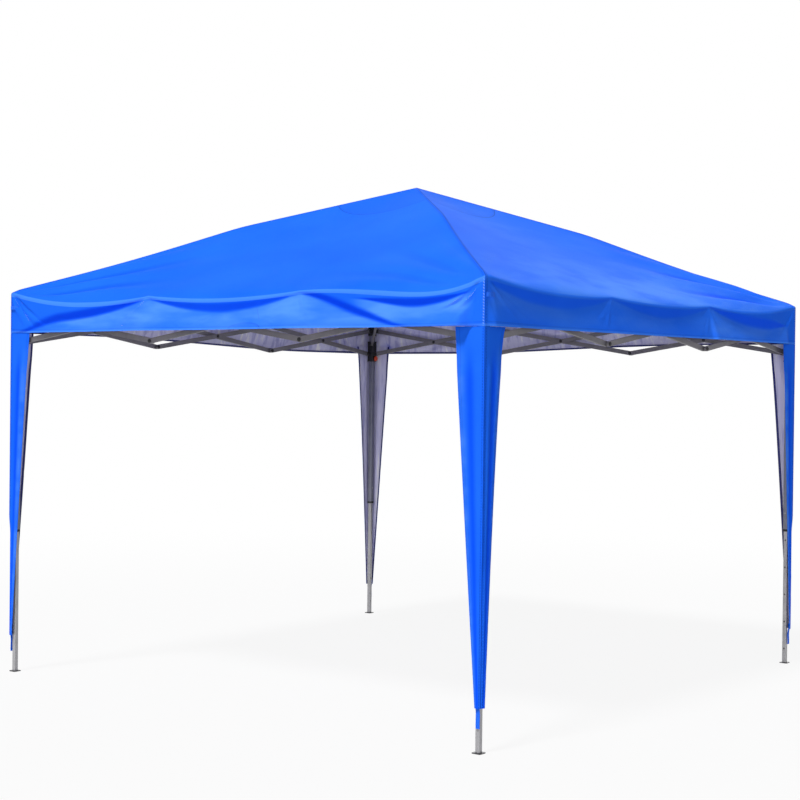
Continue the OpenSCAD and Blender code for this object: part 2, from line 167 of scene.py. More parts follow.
def add_object(name, data):
    made = bpy.data.objects.new(name, data)
    scene.collection.objects.link(made)
    return made


# Camera: fitted to the photograph's frame of 800 by 800 pixels
CAMERA_AT = (5.36992, -7.06741, 1.52375)
CAMERA_YAW = math.radians(-37.72)
CAMERA_PITCH = math.radians(-0.5805)
CAMERA_ROLL = math.radians(0.638)
FOCAL_PIXELS = 1653.07
FRAME_PIXELS = 800
SENSOR_W = 36
VIEW_END = 200


def make_camera():
    data = bpy.data.cameras.new("camera")
    data.sensor_width = SENSOR_W
    data.lens = FOCAL_PIXELS / FRAME_PIXELS * SENSOR_W
    data.clip_end = VIEW_END
    forward = Vector((
        math.sin(CAMERA_YAW) * math.cos(CAMERA_PITCH),
        math.cos(CAMERA_YAW) * math.cos(CAMERA_PITCH),
        math.sin(CAMERA_PITCH),
    ))
    level = Vector((math.cos(CAMERA_YAW), -math.sin(CAMERA_YAW), 0))
    upright = level.cross(forward)
    right = level * math.cos(CAMERA_ROLL) + upright * math.sin(CAMERA_ROLL)
    up = upright * math.cos(CAMERA_ROLL) - level * math.sin(CAMERA_ROLL)
    turn = Matrix((right, up, -forward)).transposed().to_4x4()
    scene.camera = add_object("camera", data)
    scene.camera.matrix_world = Matrix.Translation(CAMERA_AT) @ turn


# Materials
SPAN_SOCKETS = ("From Min", "From Max", "To Min", "To Max")
# The Wave node repeats every WAVE_REPEAT / scale
WAVE_REPEAT = 0.314
HALF_ROOT = 0.7071
GLOSS = "Specular IOR Level"


class Nodes:
    """Short names for building a node tree."""

    def __init__(self, tree):
        self.tree = tree

    def node(self, kind, **settings):
        made = self.tree.nodes.new(kind)
        for key, value in settings.items():
            setattr(made, key, value)
        return made

    def link(self, source, target):
        self.tree.links.new(source, target)

    def feed(self, socket, source):
        """Set a socket to a colour or a number, or link it to another node's output."""
        if isinstance(source, tuple):
            socket.default_value = (*source, 1)
        elif isinstance(source, (int, float)):
            socket.default_value = source
        else:
            self.link(source, socket)

    def maths(self, operation, *sources):
        made = self.node("ShaderNodeMath", operation=operation)
        for socket, source in zip(made.inputs, sources):
            self.feed(socket, source)
        return made.outputs[0]

    def times(self, a, b):
        return self.maths("MULTIPLY", a, b)

    def plus(self, a, b):
        return self.maths("ADD", a, b)

    def below(self, source, limit):
        return self.maths("LESS_THAN", source, limit)

    def above(self, source, limit):
        return self.maths("GREATER_THAN", source, limit)

    def size(self, source):
        return self.maths("ABSOLUTE", source)

    def most(self, *sources):
        total = sources[0]
        for source in sources[1:]:
            total = self.maths("MAXIMUM", total, source)
        return total

    def length(self, a, b):
        """Length of the hypotenuse over a and b."""
        return self.maths("SQRT", self.plus(self.times(a, a), self.times(b, b)))

    def weighed(self, a, share, b):
        """A share of a, and the rest of b."""
        return self.plus(self.times(a, share), self.times(b, 1 - share))

    def spread(self, source, spans, **settings):
        """The source mapped from one span to another."""
        made = self.node("ShaderNodeMapRange", **settings)
        for socket, value in zip(SPAN_SOCKETS, spans):
            made.inputs[socket].default_value = value
        self.link(source, made.inputs["Value"])
        return made.outputs["Result"]

    def split(self, source):
        made = self.node("ShaderNodeSeparateXYZ")
        self.link(source, made.inputs[0])
        return made.outputs

    def seen_directly(self):
        """1 for rays from the camera and for those that gloss or glass sends on."""
        path = self.node("ShaderNodeLightPath")
        return self.most(*(path.outputs[f"Is {kind} Ray"] for kind in ("Camera", "Glossy", "Transmission")))

    def output(self, kind, factor, a, b):
        """Two shaders mixed by a factor, into the tree's output."""
        both = self.node("ShaderNodeMixShader")
        for socket, source in zip(both.inputs, (factor, a.outputs[0], b.outputs[0])):
            self.link(source, socket)
        self.link(both.outputs[0], self.node(kind).inputs[0])


class Shader(Nodes):
    """A small node tree around one Principled shader."""

    def __init__(self, name):
        self.material = bpy.data.materials.new(name)
        self.material.use_nodes = True
        super().__init__(self.material.node_tree)
        self.main = self.tree.nodes["Principled BSDF"]

    def attribute(self, name):
        return self.node("ShaderNodeAttribute", attribute_name=name).outputs["Vector"]

    def coords(self):
        return self.node("ShaderNodeTexCoord").outputs["Object"]

    def stretched(self, where, scale):
        made = self.node("ShaderNodeVectorMath", operation="MULTIPLY")
        self.link(where, made.inputs[0])
        made.inputs[1].default_value = scale
        return made.outputs[0]

    def noise(self, scale, detail, where, rough=0.5):
        made = self.node("ShaderNodeTexNoise")
        for socket, value in (("Scale", scale), ("Detail", detail), ("Roughness", rough)):
            made.inputs[socket].default_value = value
        self.link(where, made.inputs["Vector"])
        return made.outputs["Fac"]

    def ramp(self, source, *stops):
        """A colour ramp through places and colours, or through places and shares of white."""
        made = self.node("ShaderNodeValToRGB")
        for element, (place, colour) in zip(made.color_ramp.elements, stops):
            element.position = place
            element.color = (*colour, 1) if isinstance(colour, tuple) else (colour, colour, colour, 1)
        self.link(source, made.inputs["Fac"])
        return made.outputs["Color"]

    def blend(self, factor, a, b):
        made = self.node("ShaderNodeMix", data_type="RGBA")
        for number, source in ((0, factor), (6, a), (7, b)):
            self.feed(made.inputs[number], source)
        return made.outputs[2]

    def band(self, source, centre, half, soft=0.0006):
        """1 where the source is within half of the centre."""
        off = self.size(self.maths("SUBTRACT", source, centre))
        return self.spread(off, (half, half + soft, 1, 0), interpolation_type="SMOOTHSTEP")

    def dash(self, source, period, share):
        return self.below(self.maths("FRACT", self.maths("DIVIDE", source, period)), share)

    def finish(self, colour, roughness, bump, setting):
        """The material, with roughness as source, low, high and bump as height, strength, distance."""
        source, low, high = roughness
        height, strength, distance = bump
        relief = self.node("ShaderNodeBump")
        relief.inputs["Strength"].default_value = strength
        relief.inputs["Distance"].default_value = distance
        self.link(height, relief.inputs["Height"])
        self.link(colour, self.main.inputs["Base Color"])
        self.link(self.spread(source, (0, 1, low, high)), self.main.inputs["Roughness"])
        self.link(relief.outputs["Normal"], self.main.inputs["Normal"])
        socket, value = setting
        self.main.inputs[socket].default_value = value
        return self.material


def srgb(r, g, b):
    """Colour written as 0 to 255 in sRGB, as a linear tuple."""
    return tuple(((c / 255 + 0.055) / 1.055) ** 2.4 if c > 10 else c / 3294.6 for c in (r, g, b))


def woven(shader, where, pitch):
    """Height of a weave, from waves along the three axes."""
    heights = []
    for direction in ("X", "Y", "Z"):
        wave = shader.node("ShaderNodeTexWave", bands_direction=direction)
        wave.inputs["Scale"].default_value = WAVE_REPEAT / pitch
        wave.inputs["Distortion"].default_value = 0.6
        shader.link(where, wave.inputs["Vector"])
        heights.append(wave.outputs["Fac"])
    return shader.plus(shader.plus(heights[0], heights[1]), heights[2])


def seam_lines(shader):
    """Masks of seams, stitches, doubled cloth, pale stitches and painted highlight strips along eave and hem, drawn in
    the cover's own coordinates.
    """
    times, most, band = shader.times, shader.most, shader.band
    x, y, z = shader.split(shader.attribute("rest"))
    along, height, part = shader.split(shader.attribute("panel"))
    hip = times(HALF_ROOT, shader.size(shader.maths("SUBTRACT", shader.size(x), shader.size(y))))
    ray = shader.length(x, y)
    run = shader.plus(ray, z)
    roof = shader.above(height, MARKS_FROM)
    front = band(part, PATCH_SIDE, 0.1)
    from_patch = shader.maths("DIVIDE", shader.maths("SUBTRACT", along, PATCH_AT), PATCH_HALF)
    patch = shader.length(from_patch, shader.maths("DIVIDE", height, PATCH_TALL))
    dart = times(band(shader.plus(along, times(height, DART_SLOPE)), DART_AT, DART_W), band(height, *DART_SPAN))
    seam = most(
        band(hip, 0.0, HIP_SEAM),
        times(roof, band(ray, APEX_PATCH, APEX_SEAM)),
        times(front, most(band(patch, *PATCH_SEAM), dart)),
    )
    stitch = most(
        times(shader.dash(run, STITCH_STEP, 0.6), most(
            band(hip, *HIP_STITCH), times(roof, band(ray, APEX_PATCH - APEX_STITCH[0], APEX_STITCH[1])))),
        times(band(height, *HEM_STITCH), 0.4),
        times(front, band(patch, *PATCH_STITCH)),
    )
    doubled = most(
        band(hip, 0.0, *HIP_DOUBLED),
        times(roof, shader.below(ray, APEX_PATCH)),
        shader.below(height, HEM_DOUBLED),
        times(front, shader.below(patch, 1.0)),
    )
    valance = times(shader.below(height, MARKS_FROM), shader.below(part, MARKS_FROM))
    pale = times(times(valance, shader.above(along, 0.0)), times(
        shader.dash(run, STITCH_STEP, 0.5), band(hip, *PALE_STITCH)))
    # Painted highlight along the rolled eave, stronger on the side with the patch, and along the hem
    eave_highlight = shader.plus(EAVE_HIGHLIGHT_SHARE, times(front, PATCH_SIDE_HIGHLIGHT_SHARE))
    highlight_strips = most(
        times(eave_highlight, times(valance, shader.above(height, VALANCE_H - EAVE_HIGHLIGHT_W))),
        times(HEM_HIGHLIGHT_SHARE, times(valance, shader.below(height, HEM_HIGHLIGHT_W))),
    )
    return seam, stitch, doubled, pale, highlight_strips


def make_cloth(name, low, high, rough, seam_colour, stitch_colour, bound=None, highlight_colour=None, gloss=0.012):
    """Coated woven cloth with its seams; the outer face has painted sheen on fold crests, painted shade in fold grooves
    and painted highlight strips along eave and hem, and the lining has painted shade and painted glints in streaks and
    tape along its free edges.
    """
    shader = Shader(name)
    where = shader.attribute("rest")
    fleck = shader.noise(420, 2, where)
    seam, stitch, doubled, pale, highlight_strips = seam_lines(shader)
    colour = shader.ramp(shader.weighed(shader.noise(2.3, 4, where), 0.75, fleck), (0.25, low), (0.75, high))
    for mask, weight, paint in (
        (doubled, 0.10, seam_colour), (seam, 0.6, seam_colour), (stitch, 0.55, stitch_colour), (pale, 0.5, PALE_THREAD),
    ):
        colour = shader.blend(shader.times(mask, weight), colour, paint)
    if highlight_colour:
        # Painted sheen in streaks on the crests, painted shade in the grooves, then painted highlight strips along eave
        # and hem
        painted_sheen, groove, _ = shader.split(shader.attribute("painted_light"))
        sheen_streaks = shader.ramp(shader.noise(1, 3, shader.stretched(where, SHEEN_STREAKS)), (0.38, 0.3), (0.62, 1.0))
        colour = shader.blend(shader.times(shader.times(painted_sheen, sheen_streaks), PAINTED_SHEEN_SHARE), colour, PAINTED_SHEEN_BLUE)
        colour = shader.blend(shader.times(groove, PAINTED_SHADE_SHARE), colour, PAINTED_SHADE_BLUE)
        colour = shader.blend(highlight_strips, colour, highlight_colour)
    if bound:
        # Painted shade and painted glints in long streaks over the lining
        painted_glints = shader.noise(1, 4, shader.stretched(where, GLINT_STREAKS), 0.62)
        colour = shader.blend(shader.ramp(painted_glints, (0.36, 0.75), (0.48, 0.0)), colour, LINING_PAINTED_SHADE)
        colour = shader.blend(shader.ramp(painted_glints, (0.56, 0.0), (0.66, 0.85)), colour, LINING_PAINTED_GLINT)
        _, height, _ = shader.split(shader.attribute("panel"))
        colour = shader.blend(shader.below(height, TAPE_W), colour, bound)
    crumple = shader.noise(38, 5, where, 0.6)
    relief = shader.plus(shader.times(woven(shader, where, WEAVE), 0.12), crumple)
    relief = shader.plus(relief, shader.times(doubled, 0.7))
    relief = shader.maths("SUBTRACT", relief, shader.times(shader.most(seam, stitch), 0.8))
    return shader.finish(colour, (fleck, rough - 0.06, rough + 0.06), (relief, 0.4, 0.0016), (GLOSS, gloss))


def make_webbing(name, low, high):
    """Ribbed flat webbing."""
    shader = Shader(name)
    where = shader.attribute("rest")
    fleck = shader.noise(700, 2, where)
    colour = shader.ramp(fleck, (0.3, low), (0.7, high))
    return shader.finish(colour, (fleck, 0.6, 0.75), (woven(shader, where, WEBBING_WEAVE), 0.5, 0.0006), (GLOSS, 0.15))


def make_steel(name, low, high, rough, metallic, end=None):
    """Coated or plated steel, grained and faintly rubbed; end is the height and colour of its lower end, if any."""
    shader = Shader(name)
    where = shader.coords()
    grain = shader.noise(900, 2, where)
    rub = shader.noise(14, 6, where, 0.65)
    colour = shader.ramp(shader.weighed(grain, 0.35, rub), (0.3, low), (0.7, high))
    if end:
        colour = shader.blend(shader.below(shader.split(where)["Z"], end[0]), colour, end[1])
    return shader.finish(colour, (rub, rough - 0.1, rough + 0.12), (grain, 0.25, 0.0003), ("Metallic", metallic))


def make_plastic(name, low, high, rough):
    """Moulded plastic with a fine spark-eroded grain."""
    shader = Shader(name)
    where = shader.coords()
    grain = shader.noise(1400, 2, where)
    cloud = shader.noise(22, 4, where)
    colour = shader.ramp(shader.weighed(grain, 0.4, cloud), (0.3, low), (0.7, high))
    return shader.finish(colour, (grain, rough - 0.08, rough + 0.1), (grain, 0.3, 0.0002), (GLOSS, 0.4))


# Heights of the foot plate and of the outer leg's bush, which have colours of their own
FOOT_T = 0.0045
BUSH_H = 0.0125
# Seams: places and half widths, in metres; the stitches of the apex patch lie inside its seam
HIP_SEAM = 0.0016
HIP_STITCH = (0.0070, 0.0010)
HIP_DOUBLED = (0.010, 0.002)
PALE_STITCH = (0.0065, 0.0022)
HEM_STITCH = (0.020, 0.0009)
HEM_DOUBLED = 0.022
STITCH_STEP = 0.012
APEX_PATCH = 0.42
APEX_SEAM = 0.0018
APEX_STITCH = (0.008, 0.0007)
# Half-moon patch at the hem of one side, and the dart beside it; the patch's bands are shares of its size
PATCH_SIDE = 3.0
PATCH_AT = 0.195
PATCH_HALF = 0.105
PATCH_TALL = 0.044
PATCH_SEAM = (1.0, 0.022, 0.01)
PATCH_STITCH = (0.90, 0.012, 0.01)
DART_AT = 0.31
DART_W = 0.0014
DART_SLOPE = 0.53
DART_SPAN = (0.102, 0.036, 0.004)
# Tape of the lining, and the painted highlight strips along eave and hem with how strongly they show
TAPE_W = 0.013
EAVE_HIGHLIGHT_W = 0.020
EAVE_HIGHLIGHT_SHARE = 0.14
PATCH_SIDE_HIGHLIGHT_SHARE = 0.4
HEM_HIGHLIGHT_W = 0.011
HEM_HIGHLIGHT_SHARE = 0.4
# Marks in the panel attribute: its height on the roof, and its part on a leg cover, lie past MARKS_FROM
MARKS_FROM = 5.0
ROOF_MARK = 9.0
LEG_COVER_MARK = 10
WEAVE = 0.0016
WEBBING_WEAVE = 0.0028
NAVY = srgb(18, 24, 104)
PALE_THREAD = srgb(150, 190, 255)
# Painted sheen on fold crests and painted shade in fold grooves
PAINTED_SHEEN_BLUE = srgb(92, 156, 255)
PAINTED_SHEEN_SHARE = 0.72
PAINTED_SHADE_BLUE = srgb(3, 74, 255)
PAINTED_SHADE_SHARE = 0.85
# Painted shade and painted glint of the lining's streaks
LINING_PAINTED_SHADE = srgb(158, 158, 214)
LINING_PAINTED_GLINT = srgb(244, 244, 252)
# Repeats per metre of the painted sheen streaks on the crests and of the painted shade and painted glint streaks in the
# lining
SHEEN_STREAKS = (2.6, 2.6, 11.0)
GLINT_STREAKS = (24.0, 24.0, 2.2)
# The outer blue's last colour is its painted highlight along eave and hem
BLUE = make_cloth("cover_blue", srgb(24, 99, 246), srgb(34, 113, 255), 0.6, srgb(4, 40, 150), srgb(3, 48, 170),
                  highlight_colour=srgb(84, 152, 255))
LINING = make_cloth("cover_lining", srgb(202, 202, 240), srgb(222, 220, 250), 0.38, srgb(150, 147, 176),
                    srgb(160, 156, 184), NAVY, gloss=0.3)
WEBBING = make_webbing("blue_webbing", srgb(24, 96, 240), srgb(46, 122, 254))
STEEL = make_steel("coated_steel", srgb(96, 94, 100), srgb(124, 121, 127), 0.45, 0.25)
LEG_STEEL = make_steel("leg_steel", srgb(104, 106, 122), srgb(132, 134, 147), 0.36, 0.35,
                       (leg_low.z + BUSH_H, srgb(28, 28, 32)))
INNER_STEEL = make_steel("inner_leg_steel", srgb(150, 150, 154), srgb(184, 183, 185), 0.34, 0.4,
                         (FOOT_T, srgb(46, 46, 50)))
BRIGHT = make_steel("plated_steel", srgb(150, 150, 150), srgb(186, 186, 188), 0.3, 0.85)
BLACK = make_plastic("black_plastic", srgb(22, 22, 25), srgb(38, 38, 42), 0.5)
ORANGE = make_plastic("orange_plastic", srgb(206, 66, 22), srgb(238, 88, 34), 0.38)


# Mesh helpers
def face_vectors(points, quads):
    """The normal of each quad, twice its area long."""
    a, b, c, d = (points[quads[:, k]] for k in range(4))
    return np.cross(c - a, d - b)


def vertex_normals(points, quads):
    """Area-weighted normals of a quad mesh."""
    face = face_vectors(points, quads)
    total = np.zeros_like(points)
    for k in range(4):
        np.add.at(total, quads[:, k], face)
    length = np.linalg.norm(total, axis=1, keepdims=True)
    return total / np.maximum(length, 1e-12)


def surface_area(points, quads):
    return float(np.linalg.norm(face_vectors(points, quads), axis=1).sum() / 2)


def boundary_edges(quads):
    """Directed edges that only one quad uses."""
    edges = np.concatenate([quads[:, [k, (k + 1) % 4]] for k in range(4)])
    keys = {tuple(e) for e in edges.tolist()}
    return np.array([e for e in edges.tolist() if (e[1], e[0]) not in keys and e[0] != e[1]])


def cloth_piece(name, points, normals, quads, panel, painted_light, thickness=COVER_T, outer=BLUE, inner=LINING):
    """A closed two-layer sheet: outer face on the points, lining one thickness behind, rims at its edges."""
    used = np.unique(quads)
    index = np.full(len(points), -1)
    index[used] = np.arange(len(used))
    faces = index[quads]
    p, n = points[used], normals[used]
    count = len(used)
    rim = boundary_edges(faces)
    back = faces[:, ::-1] + count
    sides = np.stack([rim[:, 1], rim[:, 0], rim[:, 0] + count, rim[:, 1] + count], axis=1)
    every = np.concatenate([faces, back, sides])
    corners = [list(dict.fromkeys(f)) for f in every.tolist()]
    whole = np.concatenate([p, p - thickness * n])
    mesh = bpy.data.meshes.new(name)
    mesh.from_pydata(whole.tolist(), [], corners)
    mesh.materials.append(outer)
    mesh.materials.append(inner)
    slots = np.concatenate([np.zeros(len(faces)), np.ones(len(back)), np.zeros(len(sides))]).astype(np.int32)
    mesh.polygons.foreach_set("material_index", slots)
    mesh.polygons.foreach_set("use_smooth", np.ones(len(every), bool))
    # Each point also carries painted light: painted sheen or highlight first, painted shade second
    for label, values in (("rest", points), ("panel", panel), ("painted_light", painted_light)):
        where = mesh.attributes.new(label, "FLOAT_VECTOR", "POINT")
        where.data.foreach_set("vector", np.tile(values[used], (2, 1)).astype(np.float32).ravel())
    mesh.update()
    both = np.concatenate([n, -n])
    layer_loops = sum(map(len, corners[: len(faces) + len(back)]))
    order = np.concatenate(corners).astype(int)
    flat = face_vectors(whole, sides)
    flat /= np.maximum(np.linalg.norm(flat, axis=1, keepdims=True), 1e-12)
    loops = np.concatenate([both[order[:layer_loops]], np.repeat(flat, 4, axis=0)])
    mesh.normals_split_custom_set(loops)
    return add_object(name, mesh)


# Cover surface
def spaced(spacing, length):
    """Shares from 0 to 1 whose local spacing in metres follows the given function."""
    fine = np.linspace(0, 1, 4001)
    density = length / spacing(fine)
    total = np.concatenate([[0], np.cumsum((density[1:] + density[:-1]) / 2 * np.diff(fine))])
    count = int(math.ceil(total[-1]))
    return np.interp(np.linspace(0, total[-1], count + 1), total, fine)


def side_spacing(t):
    near = np.min([np.abs(t - b) for b in BUMPS], axis=0) * SIDE_LENGTH
    ends = np.minimum(t, 1 - t) * SIDE_LENGTH
    return np.minimum(mix(0.009, 0.012, smooth(near, 0.03, 0.3)), mix(0.005, 0.012, smooth(ends, 0.02, 0.3)))


SIDE_T = spaced(side_spacing, SIDE_LENGTH)
SIDE_T = np.unique(np.round(np.concatenate([SIDE_T[np.abs(SIDE_T - 0.5) > 0.002], [0.5]]), 6))
SLOPE_LENGTH = math.hypot(HALF, PEAK_Z - CORNER_Z)
ROOF_S = spaced(lambda s: mix(0.034, 0.0055, smooth(s, 0.72, 0.97)), SLOPE_LENGTH)
ROOF_S = np.unique(np.round(np.concatenate([ROOF_S, [EDGE_SHARE]]), 6))
ROOF_S = ROOF_S[np.concatenate([[True], np.diff(ROOF_S) > 0.0015])]
VALANCE_V = np.linspace(0, 1, 41)[1:] ** 1.1


def bays(t):
    """Bay number and share within the bay."""
    bay = np.clip(np.searchsorted(BUMPS, t, side="right") - 1, 0, 2)
    low, high = np.array(BUMPS)[bay], np.array(BUMPS)[bay + 1]
    return bay, (t - low) / (high - low)


def hip_height(s):
    low = mix(PEAK_Z, HIP_Z, s / HIP_SHARE)
    past = (s - HIP_SHARE) / (1 - HIP_SHARE)
    sharp = np.minimum(low, mix(HIP_Z, CORNER_Z, past))
    ease = np.maximum(HIP_KINK - np.abs(s - HIP_SHARE), 0) ** 2 / (4 * HIP_KINK)
    slopes = (HIP_Z - PEAK_Z) / HIP_SHARE - (CORNER_Z - HIP_Z) / (1 - HIP_SHARE)
    return sharp - ease * slopes - HIP_SAG * np.sin(np.pi * np.clip(past, 0, 1)) ** 1.2


def eave_drop(n, t):
    """How far the eave lies below the corners: chords between its supports, with a scallop in each bay."""
    bay, q = bays(t)
    chord = np.interp(t, BUMPS, (0, BUMP_DROP, BUMP_DROP, 0))
    sag = np.array([b[0] for b in BAYS[n]])[bay]
    skew = np.array([b[1] for b in BAYS[n]])[bay]
    share = np.where(bay == 0, 1 - (1 - q) ** skew, q ** skew)
    return chord, sag * np.sin(np.pi * share) ** 0.85


def roof_surface(n, s, t):
    """Points of one side's roof panel, before the turn to its side, and the mask of painted shade in its grooves."""
    span = np.sin(np.pi * t)
    panel = mix(PEAK_Z, CORNER_Z, s) - PANEL_SAG * np.sin(np.pi * s) * span
    height = mix(hip_height(s), panel, span ** 0.7)
    chord, scallop = eave_drop(n, t)
    height = height - s ** 3 * chord - mix(s ** 9, s ** 55, smooth(np.minimum(t, 1 - t), 0.02, 0.22)) * scallop
    out = s * HALF
    along = s * HALF * (2 * t - 1)
    # Long soft folds that fan out from the corners
    groove = np.zeros_like(t)
    for end, depth in zip((0, 1), FAN_FOLD[n]):
        from_corner = (along + HALF) if end == 0 else (HALF - along)
        up = HALF - out
        reach = np.hypot(from_corner, up)
        angle = np.degrees(np.arctan2(up, from_corner))
        fan = np.sin(np.radians(angle * FAN_WAVES + FAN_START)) * smooth(reach, 0.05, 0.4)
        fan = fan * bell(reach - FAN_REACH[0], FAN_REACH[1])
        fan = fan * smooth(angle, 0, 6) * smooth(45 - angle, 0, 6)
        height = height + depth * fan
        # Painted shade in the troughs of the folds
        groove = np.maximum(groove, depth / FAN_FULL_SHADE * smooth(-fan, 0.25, 0.9))
    # Corner of the cover rounds over the crown of the top bracket
    corner = np.hypot(HALF - np.abs(along), HALF - out)
    height = height - CORNER_DROP * bell(corner, CORNER_ROUND)
    return np.stack([out, along, height], axis=-1), np.clip(groove, 0, 1)


def stand_out(n, t, v, tall):
    """How far the valance stands out, with masks of painted sheen on its crests and painted shade in its grooves: the
    grooves lie at the frame.
    """
    bay, q = bays(t)
    slope, painted_sheen, painted_shade = np.zeros_like(t), np.zeros_like(t), np.zeros_like(t)
    for b, (_, _, inward, outward, folds) in enumerate(BAYS[n]):
        share = 1 - q if b == 2 else q
        groove, below = np.zeros_like(t), np.zeros_like(t)
        for fold in folds:
            place, height, wide = np.array(fold).T
            near = [np.clip(share + d, 0, 1) for d in (-0.05, -0.02, 0.02, 0.05)]
            centre, half = (sum(np.interp(x, place, drawn) for x in near) / len(near) for drawn in (height, wide))
            there = smooth(half, 0.0, 0.02)
            groove = np.maximum(groove, there * np.exp(-(((v - centre) / np.maximum(half, 0.01)) ** 4)))
            below = np.maximum(below, there * smooth(v, centre, centre + half + 0.05))
        slope = np.where(bay == b, mix(outward * below, -inward, groove), slope)
        # Painted sheen on the crests below each groove, and painted shade in the grooves
        painted_sheen = np.where(bay == b, outward / STEEPEST_OUT * below * (1 - groove) * (1 - 0.6 * smooth(v, 0.6, 1)), painted_sheen)
        painted_shade = np.where(bay == b, inward / STEEPEST_IN * groove, painted_shade)
    for _ in range(3):
        for field in (slope, painted_sheen, painted_shade):
            field[:, 1:-1] = (field[:, :-2] + 2 * field[:, 1:-1] + field[:, 2:]) / 4
    step = np.diff(v, axis=0) * tall[1:] * (slope[1:] + slope[:-1]) / 2
    out = np.concatenate([np.zeros_like(t[:1]), np.cumsum(step, axis=0)])
    return out - out.min(axis=0), painted_sheen, painted_shade


def creases(n, t, v):
    """Sharp little folds that run from the supports towards the hem."""
    along = t * SIDE_LENGTH
    down = v * VALANCE_H
    total = np.zeros_like(t)
    draw = np.random.default_rng(100 + n)
    for bump in BUMPS:
        here = bump * SIDE_LENGTH
        ends = bump in (0, 1)
        for _ in range(14 if ends else 8):
            lean = draw.uniform(-1.4, 1.4)
            if ends:
                lean = (1 if bump == 0 else -1) * draw.uniform(0.1, 2.2)
            length = draw.uniform(0.1, 0.26)
            depth = draw.uniform(0.0018, 0.0042) * draw.choice((-1, 1))
            across = (along - here - lean * down) / math.hypot(1, lean)
            total += depth * bell(across, 0.011) * smooth(down, 0.004, 0.03) * (1 - smooth(down, 0.6 * length, length))
    for _ in range(44):
        here, height = draw.uniform(0.2, 2.8), draw.uniform(0.5, 0.97)
        slant, wide = draw.uniform(-0.7, 0.7), draw.uniform(0.02, 0.07)
        across = (v - height) * VALANCE_H - slant * (along - here)
        near = bell(across, 0.009) * bell(along - here, wide)
        total += draw.uniform(-0.003, 0.003) * near * (1 - smooth(v, 0.85, 0.97))
    return total * CREASE_SHARE[n]


def valance_surface(n, v, t):
    """Points of one side's valance, before the turn to its side, from eave to hem, and their painted sheen and painted
    shade.
    """
    chord, scallop = eave_drop(n, t)
    corner = np.minimum(t, 1 - t) * SIDE_LENGTH
    top = CORNER_Z - chord - scallop - CORNER_DROP * bell(corner, CORNER_ROUND)
    rear = {1: smooth(t, 0.2, 0.8), 2: smooth(1 - t, 0.2, 0.8)}.get(n, 0 * t)
    height = mix(top, HEM_Z - REAR_DROP * rear, v)
    inside = smooth(corner, 0.0, 0.06)
    flare = HEM_FLARE * v ** 2 * np.sin(np.pi * t) ** 0.6
    stand, painted_sheen, painted_shade = stand_out(n, t, v, top - HEM_Z)
    away = flare + inside * (creases(n, t, v) + stand)
    out = HALF + np.maximum(away, -0.003) + REAR_STAND * rear * smooth(v, 0.6, 0.85)
    painted_light = np.stack([inside * painted_sheen, inside * painted_shade, np.zeros_like(t)], axis=-1)
    return np.stack([out, HALF * (2 * t - 1), height], axis=-1), painted_light


def cover_surface():
    """The whole cover as one grid: rows from the peak to the hem, columns round the four sides."""
    side = np.repeat(np.arange(4), len(SIDE_T) - 1)
    share = np.tile(SIDE_T[:-1], 4)
    rows = len(ROOF_S) + len(VALANCE_V)
    points, painted_light = np.zeros((2, rows, len(share), 3))
    for n in range(4):
        mine = side == n
        t = share[mine]
        s_grid, t_grid = np.meshgrid(ROOF_S, t, indexing="ij")
        v_grid, tv_grid = np.meshgrid(np.concatenate([[0], VALANCE_V]), t, indexing="ij")
        roof, groove = roof_surface(n, s_grid, t_grid)
        valance, folds = valance_surface(n, v_grid, tv_grid)
        # Painted shade in the troughs of the fan folds
        painted_light[: len(ROOF_S), mine, 1] = groove
        # Painted sheen towards the eave, standing in for the sky's reflection, kept out of the painted shade
        pale = mix(*EAVE_PAINTED_SHEEN[n], smooth(s_grid, 0.6, 0.95)) * np.sin(np.pi * t_grid) ** 0.5
        painted_light[: len(ROOF_S), mine, 0] = pale * (1 - groove)
        painted_light[len(ROOF_S):, mine] = folds[1:]
        roof[..., 0] += (valance[0, :, 0] - HALF) * s_grid ** 40
        points[: len(ROOF_S), mine] = turned(roof, n)
        points[len(ROOF_S):, mine] = turned(valance[1:], n)
    # The eave rolls over: neighbouring rows are eased a few times
    eave = len(ROOF_S) - 1
    corner = np.minimum(share, 1 - share) * SIDE_LENGTH
    for passes, width, kept in ((4, 1.6, 1.0), (9, 2.8, smooth(corner, 0.04, 0.22))):
        away = np.arange(rows) - eave
        away = np.where(away < 0, away * ROOF_EASE, away)
        weight = 0.5 * bell(away, width)[:, None] * np.broadcast_to(kept, corner.shape)[None, :]
        for _ in range(passes):
            middle = (np.roll(points, 1, 0) + np.roll(points, -1, 0)) / 2
            middle[0], middle[-1] = points[0], points[-1]
            points = mix(points, middle, weight[..., None])
    return points, painted_light, side, share


def grid_quads(rows, columns, closed):
    r = np.arange(rows - 1)[:, None]
    c = np.arange(columns if closed else columns - 1)[None, :]
    nxt = (c + 1) % columns
    return np.stack(np.broadcast_arrays(
        r * columns + c, (r + 1) * columns + c, (r + 1) * columns + nxt, r * columns + nxt
    ), axis=-1).reshape(-1, 4)


def open_sheet(name, grid, panel, painted_light, *finish):
    """A cloth piece from a grid of points: the piece and its area."""
    flat = grid.reshape(-1, 3)
    quads = grid_quads(*grid.shape[:2], False)
    marks = panel.reshape(-1, 3), painted_light.reshape(-1, 3)
    return cloth_piece(name, flat, vertex_normals(flat, quads), quads, *marks, *finish), surface_area(flat, quads)


